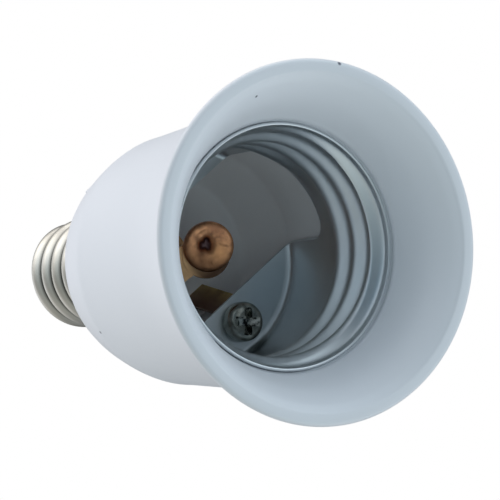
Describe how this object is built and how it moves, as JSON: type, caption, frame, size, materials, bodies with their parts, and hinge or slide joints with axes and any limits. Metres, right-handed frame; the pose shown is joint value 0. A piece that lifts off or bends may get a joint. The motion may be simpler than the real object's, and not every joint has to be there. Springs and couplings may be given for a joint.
{
  "type": "lamp socket adapter",
  "caption": "Flared plastic adapter that carries a large Edison screw socket on a small Edison screw cap.",
  "frame": {"origin": "on the axis of both threads, at the lowest point of the cap's tip", "axes": "+Z along the axis, from the cap's tip out of the socket's mouth; +X towards the tab that clamps the side strip; the centre contact's leaf lies along Y"},
  "size_m": [0.0408, 0.0408, 0.065],
  "materials": {
    "white_housing": "moulded, light gloss",
    "plated_shell": "drawn sheet, bright plated",
    "screw_steel": "dark bright plating",
    "strip_brass": "aged brass sheet",
    "leaf_copper": "copper alloy spring sheet",
    "button_copper": "turned copper alloy, polished",
    "rivet_brass": "turned brass",
    "plated_cap": "rolled thread, nickel plated",
    "black_insulator": "moulded black resin",
    "tip_brass": "stamped brass",
    "solder": "soft solder, slightly dull",
    "lead_copper": "tinned copper",
    "sleeve_plastic": "plain tube"
  },
  "bodies": {
    "socket": {"housing": "white_housing", "screw_shell": "plated_shell", "shell_screws": "screw_steel", "side_strip": "strip_brass", "contact_leaf": "leaf_copper", "leaf_rivet": "rivet_brass", "e14_cap": "plated_cap", "cap_insulator": "black_insulator", "tip_contact": "tip_brass", "tip_solder": "solder", "centre_lead": "lead_copper", "lead_sleeve": "sleeve_plastic"},
    "contact": {"contact_button": "button_copper"}
  },
  "joints": [
    {"name": "contact_press", "type": "hinge", "parent": "socket", "child": "contact", "pos_m": [0, -0.0076, 0.0303], "axis": [-1, 0, 0], "range_deg": [0, 12], "stiffness_Nm_per_rad": 0.1, "deforming": ["contact_leaf"]}
  ]
}
